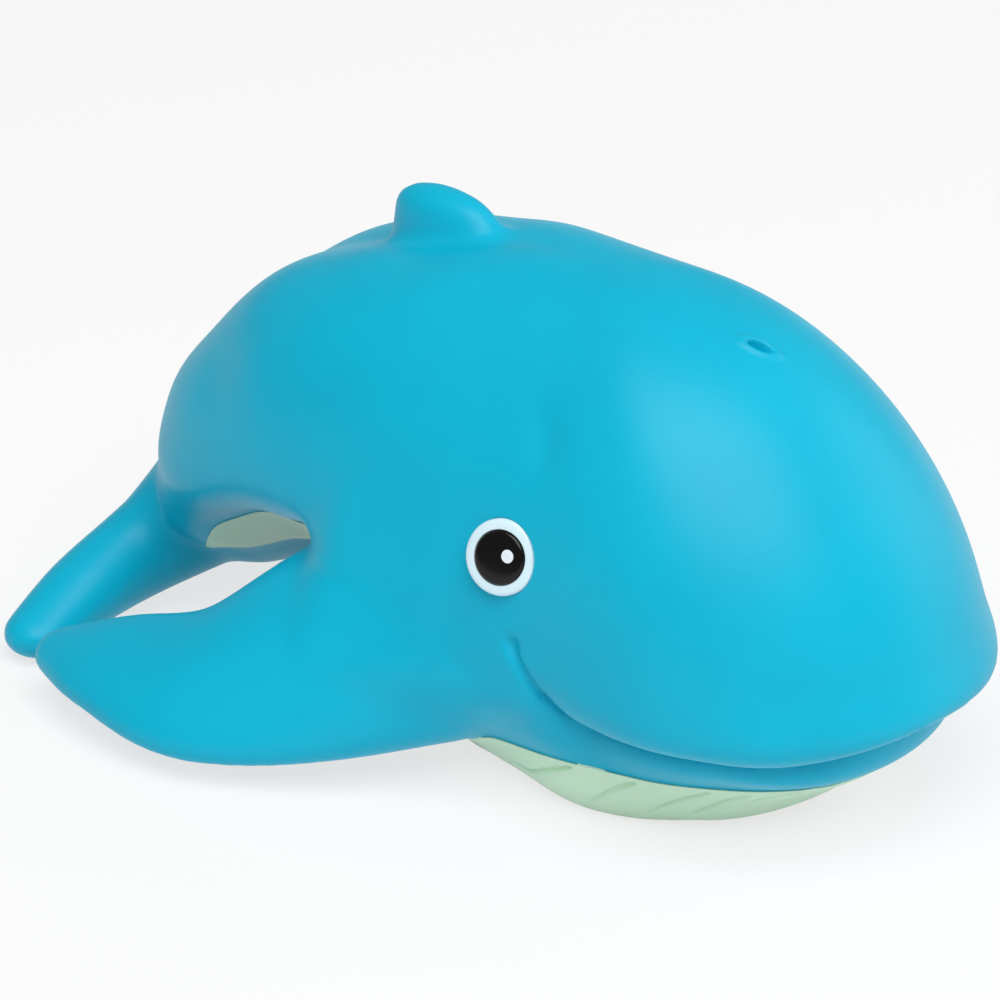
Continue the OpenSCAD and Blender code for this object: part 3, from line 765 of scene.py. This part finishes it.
set_places(whale, co + blow_out * (lift * MM)[:, None])
bpy.ops.object.select_all(action="DESELECT")
bpy.ops.mesh.primitive_cylinder_add(vertices=48, radius=MM, depth=HOLE_DEPTH * MM)
tool = bpy.context.object
tool.data.transform(Matrix.Diagonal((HOLE_LEN, HOLE_W, 1, 1)))
axes = [(*v, 0) for v in (blow_along, blow_across, blow_out)] + [(0, 0, 0, 1)]
tool.data.transform(Matrix.Translation(blow * MM) @ Matrix(axes).transposed())
carve(whale, tool)


# The eyes

EYE_FORE, EYE_UP = 0.4, 0.3
EYE = np.array([MID_X + 0.107 * BODY_LEN + EYE_FORE, 0.457 * BODY_W, 0.548 * BODY_H + EYE_UP])
EYE_D, PUPIL_D, GLINT_D, EYE_SEAT, EYE_GAP, POCKET = 10.0, 7.1, 1.8, 1.1, 0.06, 4
EYE_TURN, EYE_TILT = math.radians(77.5), math.radians(73)
GLINT_SHIFT = (-0.06 * PUPIL_D * MM, -0.17 * PUPIL_D * MM, 0)


def eye_place(side):
    """From an eye's own axes, in metres, to the frame."""
    turn = Matrix.Rotation(EYE_TURN, 4, "Z") @ Matrix.Rotation(EYE_TILT, 4, "Y")
    place = Matrix.Translation(Vector(EYE) * MM) @ turn
    return place if side > 0 else Matrix.Scale(-1, 4, (0, 1, 0)) @ place


def put(thing, matrix):
    """Moves a mesh by a matrix and turns its faces outwards again."""
    thing.data.transform(matrix)
    only(thing)
    bpy.ops.object.mode_set(mode="EDIT")
    bpy.ops.mesh.select_all(action="SELECT")
    bpy.ops.mesh.remove_doubles(threshold=0.000001)
    bpy.ops.mesh.normals_make_consistent(inside=False)
    bpy.ops.object.mode_set(mode="OBJECT")
    return thing


def spun(name, profile, steps=96):
    """A turned piece: a profile of radius and height in millimetres, spun about Z."""
    mesh = bpy.data.meshes.new(name)
    points = [(r * MM, 0, z * MM) for r, z in profile]
    mesh.from_pydata(points, [(i, i + 1) for i in range(len(points) - 1)], [])
    thing = bpy.data.objects.new(name, mesh)
    bpy.context.scene.collection.objects.link(thing)
    only(thing)
    bpy.ops.object.mode_set(mode="EDIT")
    bpy.ops.mesh.select_all(action="SELECT")
    bpy.ops.mesh.spin(steps=steps, angle=2 * math.pi, center=(0, 0, 0), axis=(0, 0, 1))
    bpy.ops.mesh.select_all(action="SELECT")
    bpy.ops.mesh.remove_doubles(threshold=0.000002)
    bpy.ops.mesh.normals_make_consistent(inside=False)
    bpy.ops.object.mode_set(mode="OBJECT")
    return thing


def arc(cr, cz, radius, start, stop, count=8):
    """Points on a bend about a centre, from one angle to another."""
    return [(cr + radius * math.cos(math.radians(a)), cz + radius * math.sin(math.radians(a)))
            for a in np.linspace(start, stop, count)]


def eye_pieces(side, word):
    """The ring, the domed pupil and the dot of one eye."""
    r, p = EYE_D / 2, PUPIL_D / 2
    white = spun("eye_ring_" + word, [
        (0, -EYE_SEAT), (r, -EYE_SEAT), (r, -0.1), *arc(r - 0.6, 0.1, 0.6, 0, 62),
        (r - 0.7, 0.68), (p + 0.4, 0.74), *arc(p + 0.18, 0.62, 0.12, 90, 180, 5),
        (p + 0.06, 0.1), (0, 0.1)])
    pupil = spun("eye_pupil_" + word + "_dome", [
        (0, 0.1), (p, 0.1), (p, 0.5), *arc(p - 0.5, 0.52, 0.5, 0, 78, 12),
        (p * 0.75, 1.07), (p * 0.5, 1.12), (p * 0.25, 1.15), (0, 1.16)])
    glint = spun("eye_glint_" + word + "_dot", [
        (0, 1.0), (GLINT_D / 2, 1.0), (GLINT_D / 2, 1.12), (GLINT_D * 0.4, 1.17),
        (GLINT_D * 0.22, 1.19), (0, 1.2)], steps=48)
    glint.data.transform(Matrix.Translation(GLINT_SHIFT))
    for thing in (white, pupil, glint):
        put(thing, eye_place(side))
    return white, pupil, glint


# the round pockets that the eyes are set in
for side in (1, -1):
    bpy.ops.object.select_all(action="DESELECT")
    bpy.ops.mesh.primitive_cylinder_add(vertices=96, radius=(EYE_D / 2 + EYE_GAP) * MM,
                                        depth=POCKET * MM,
                                        location=(0, 0, (POCKET / 2 - EYE_SEAT) * MM))
    tool = bpy.context.object
    bake_place(tool)
    put(tool, eye_place(side))
    carve(whale, tool)

eyes = {word: eye_pieces(side, word) for side, word in ((1, "left"), (-1, "right"))}


# The materials

class Sum:
    """A socket that takes part in Python expressions, each of which adds a Math node."""

    def __init__(self, paint, socket):
        self.paint, self.socket = paint, socket

    def _with(self, operation, other, swap=False):
        first, second = (other, self) if swap else (self, other)
        return self.paint.node("ShaderNodeMath", {"operation": operation}, {0: first, 1: second})

    def __add__(self, other):
        return self._with("ADD", other)

    __radd__ = __add__

    def __mul__(self, other):
        return self._with("MULTIPLY", other)

    __rmul__ = __mul__

    def __sub__(self, other):
        return self._with("SUBTRACT", other)

    def __rsub__(self, other):
        return self._with("SUBTRACT", other, swap=True)

    def clamp(self, low=0.0, high=1.0):
        """Keeps the value between two limits."""
        return self._with("MAXIMUM", low)._with("MINIMUM", high)


def linear(*rgb):
    """A colour as it looks on a screen, 0 to 255, as the numbers that the shader takes."""
    out = []
    for c in rgb:
        c /= 255
        out.append(c / 12.92 if c <= 0.04045 else ((c + 0.055) / 1.055) ** 2.4)
    return (*out, 1.0)


class Paint:
    """A node material that is being put together."""

    def __init__(self, name):
        self.material = bpy.data.materials.new(name)
        self.material.use_nodes = True
        self.tree = self.material.node_tree
        self.tree.nodes.clear()
        self.output = self.tree.nodes.new("ShaderNodeOutputMaterial")

    def node(self, kind, settings=None, inputs=None, out=0):
        """Adds a node, links or sets its inputs, and hands back one of its outputs."""
        made = self.tree.nodes.new(kind)
        for name, value in (settings or {}).items():
            setattr(made, name, value)
        for name, value in (inputs or {}).items():
            if isinstance(value, Sum):
                self.tree.links.new(value.socket, made.inputs[name])
            else:
                made.inputs[name].default_value = value
        return Sum(self, made.outputs[out])

    def place(self):
        """The place on the object."""
        return self.node("ShaderNodeTexCoord", out="Object")

    def noise(self, scale, detail=2.0, rough=0.5, at=None):
        """A cloudy pattern between 0 and 1."""
        return self.node("ShaderNodeTexNoise", {}, {"Vector": at or self.place(), "Scale": scale,
                                                    "Detail": detail, "Roughness": rough})

    def blend(self, a, b, factor):
        """A colour between two."""
        return self.node("ShaderNodeMix", {"data_type": "RGBA"}, {0: factor, 6: a, 7: b}, out=2)

    def bump(self, height, strength, distance):
        """Small relief that only the light sees."""
        return self.node("ShaderNodeBump", {}, {"Height": height, "Strength": strength,
                                                "Distance": distance})

    def finish(self, **inputs):
        """Ends the material in one surface with these inputs."""
        surface = self.node("ShaderNodeBsdfPrincipled", {}, inputs)
        self.tree.links.new(surface.socket, self.output.inputs["Surface"])
        return self.material


def vinyl(name, base, deep, rough):
    """Soft satin vinyl: colour that clouds a little, and a skin with the faintest orange peel."""
    p = Paint(name)
    cloud = p.noise(38, 3, 0.55)
    fine = p.noise(900, 2, 0.6)
    colour = p.blend(base, deep, ((cloud - 0.42) * 1.6).clamp(0, 0.5))
    peel = p.bump(fine, 0.05, 0.0002)
    return p.finish(**{"Base Color": colour, "Roughness": (rough + (cloud - 0.5) * 0.08).clamp(),
                       "Normal": peel, "IOR": 1.47, "Specular IOR Level": 0.26,
                       "Subsurface Weight": 0.06, "Subsurface Radius": (0.3, 0.8, 1.0),
                       "Subsurface Scale": 0.002})


blue = vinyl("satin_blue_vinyl", linear(2, 181, 214), linear(0, 166, 200), 0.4)
green = vinyl("satin_green_vinyl", linear(216, 246, 218), linear(206, 238, 208), 0.44)


def gloss(name, base, deep, rough, coat=0.6, level=0.5):
    """Hard glossy paint on the eyes."""
    p = Paint(name)
    cloud = p.noise(220, 2)
    colour = p.blend(base, deep, cloud)
    return p.finish(**{"Base Color": colour, "Roughness": (rough + (cloud - 0.5) * 0.04).clamp(),
                       "Specular IOR Level": level, "Coat Weight": coat, "Coat Roughness": 0.06})


eye_white = gloss("glossy_eye_white", linear(222, 246, 255), linear(214, 240, 252),
                  rough=0.3, coat=0.2)
eye_black = gloss("glossy_eye_black", linear(5, 4, 5), linear(8, 7, 8),
                  rough=0.14, coat=0.0, level=0.32)
eye_dot = gloss("glossy_eye_dot", linear(240, 245, 250), linear(230, 240, 248), rough=0.2)


def plastic(name, base, deep, rough):
    """Moulded plastic with a fine spark grain."""
    p = Paint(name)
    cloud = p.noise(160, 3)
    grain = p.noise(2600, 2)
    return p.finish(**{"Base Color": p.blend(base, deep, cloud),
                       "Roughness": (rough + (cloud - 0.5) * 0.1).clamp(),
                       "Normal": p.bump(grain, 0.12, 0.00008)})


white_plastic = plastic("squeaker_white_plastic", linear(236, 236, 230), linear(226, 226, 218), 0.38)
ivory_plastic = plastic("squeaker_ivory_plastic", linear(228, 220, 196), linear(218, 208, 180), 0.42)


def rolled_metal():
    """Thin rolled brass, with drawn lines along the strip."""
    p = Paint("reed_rolled_brass")
    stretched = p.node("ShaderNodeMapping", {}, {"Vector": p.place(), "Scale": (4000, 4000, 160)})
    lines = p.noise(1, 3, 0.6, at=stretched)
    return p.finish(**{"Base Color": p.blend(linear(214, 178, 96), linear(188, 148, 70), lines),
                       "Metallic": 1.0, "Roughness": 0.24 + lines * 0.14,
                       "Normal": p.bump(lines, 0.1, 0.00004)})


reed_metal = rolled_metal()


def dress(thing, material, angle):
    """Gives a piece its material, and smooth shading across edges under an angle in degrees."""
    thing.data.materials.clear()
    thing.data.materials.append(material)
    only(thing)
    bpy.ops.object.shade_smooth_by_angle(angle=math.radians(angle))


# What each piece is and rides on

dress(whale, blue, 60)
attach(whale, "shell")
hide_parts("body_shell", "flipper_right", "flipper_left", "fluke_right", "fluke_left")

dress(belly, green, 60)
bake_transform(belly)
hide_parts("belly_panel")

for word, pieces in eyes.items():
    for thing, material, node, slot in zip(pieces, (eye_white, eye_black, eye_dot),
                                           ("eye_white_", "eye_pupil_", "eye_glint_"),
                                           ("eye_white", "eye_black", "eye_glint")):
        dress(thing, material, 50)
        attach(thing, "shell")
        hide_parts(node + word)

for node, material in (("squeaker_housing", white_plastic), ("squeaker_cap", white_plastic),
                       ("squeaker_reed_block", ivory_plastic), ("squeaker_reed_wedge", ivory_plastic),
                       ("squeaker_reed_root", reed_metal), ("squeaker_reed", reed_metal)):
    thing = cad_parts[node]
    thing.data.materials.clear()
    thing.data.materials.append(material)


# Floor and light

WORLD_LIGHT, BACKDROP_SHARE, FLOOR_SIZE = 0.27, 0.72, 8

bpy.ops.object.select_all(action="DESELECT")
bpy.ops.mesh.primitive_plane_add(size=FLOOR_SIZE, location=(0, 0, 0))
floor = bpy.context.object
floor.name = "floor"


def backdrop_paint():
    """Matt white that the camera and reflections see nearly as plain white, with a light shadow."""
    p = Paint("floor_white")
    camera_ray, glossy_ray, transmission_ray = (
        p.node("ShaderNodeLightPath", out=ray)
        for ray in ("Is Camera Ray", "Is Glossy Ray", "Is Transmission Ray"))
    seen = (camera_ray + glossy_ray + transmission_ray).clamp() * BACKDROP_SHARE
    matt = p.node("ShaderNodeBsdfDiffuse", {}, {"Color": (0.9, 0.9, 0.9, 1)})
    glow = p.node("ShaderNodeEmission", {}, {"Color": (1, 1, 1, 1), "Strength": 1.0})
    both = p.node("ShaderNodeMixShader", {}, {0: seen, 1: matt, 2: glow})
    p.tree.links.new(both.socket, p.output.inputs["Surface"])
    return p.material


floor.data.materials.append(backdrop_paint())

world = bpy.data.worlds.new("studio")
world.use_nodes = True
bpy.context.scene.world = world
sky = world.node_tree.nodes["Background"]
sky.inputs["Color"].default_value = (1, 1, 1, 1)
sky.inputs["Strength"].default_value = WORLD_LIGHT


def softbox(name, place, aim, size, power):
    """A soft rectangular lamp that points from its place at its aim."""
    lamp = bpy.data.lights.new(name, "AREA")
    lamp.shape, lamp.energy = "RECTANGLE", power
    lamp.size, lamp.size_y = size
    thing = bpy.data.objects.new(name, lamp)
    bpy.context.scene.collection.objects.link(thing)
    thing.location = place
    thing.rotation_mode = "QUATERNION"
    thing.rotation_quaternion = (Vector(aim) - Vector(place)).to_track_quat("-Z", "Y")


MIDDLE = (0, 0, 0.03)
softbox("top_softbox", (0.42, -0.36, 1.0), MIDDLE, size=(1.0, 1.0), power=12.3)
softbox("right_softbox", (0.55, 0.8, 0.42), MIDDLE, size=(0.8, 0.8), power=2.6)

bpy.context.scene.view_settings.view_transform = "Standard"
